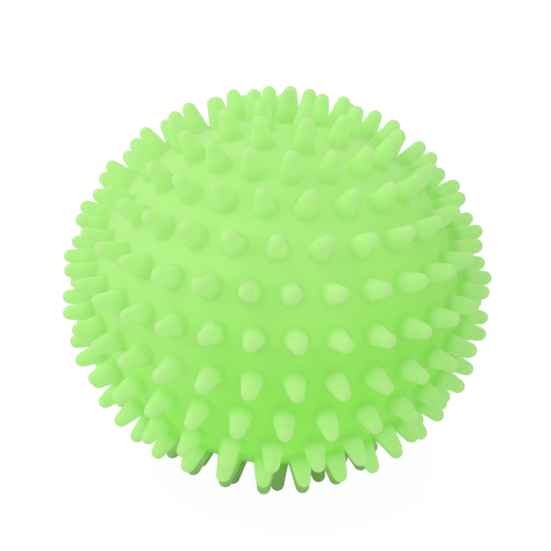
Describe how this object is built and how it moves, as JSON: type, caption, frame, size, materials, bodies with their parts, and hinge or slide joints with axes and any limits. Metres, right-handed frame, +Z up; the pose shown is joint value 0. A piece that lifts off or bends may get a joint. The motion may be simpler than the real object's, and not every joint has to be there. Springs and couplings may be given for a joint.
{
  "type": "massage ball",
  "caption": "Hollow soft spiky massage ball in two moulded halves, with a pull-out valve plug that carries the top spike, and flattened spikes where it rests.",
  "frame": {"origin": "centre of the ball", "axes": "+Z up along the valve's axis, out of the valve's mouth; X and Y across the ball"},
  "size_m": [0.0894, 0.0894, 0.0835],
  "materials": {
    "upper_skin": "frosted translucent soft rubber, matte",
    "lower_skin": "frosted translucent soft rubber, matte",
    "bead": "translucent soft rubber, hidden in the wall",
    "bush": "smooth translucent soft rubber",
    "plug": "smooth translucent soft rubber"
  },
  "bodies": {
    "ball": {"upper_shell": "upper_skin", "lower_shell": "lower_skin", "seam_bead": "bead", "valve_bush": "bush"},
    "plug": {"valve_plug": "plug"}
  },
  "joints": [
    {"name": "plug_pull", "type": "slide", "parent": "ball", "child": "plug", "axis": [0, 0, 1], "range_m": [0, 0.035]}
  ]
}
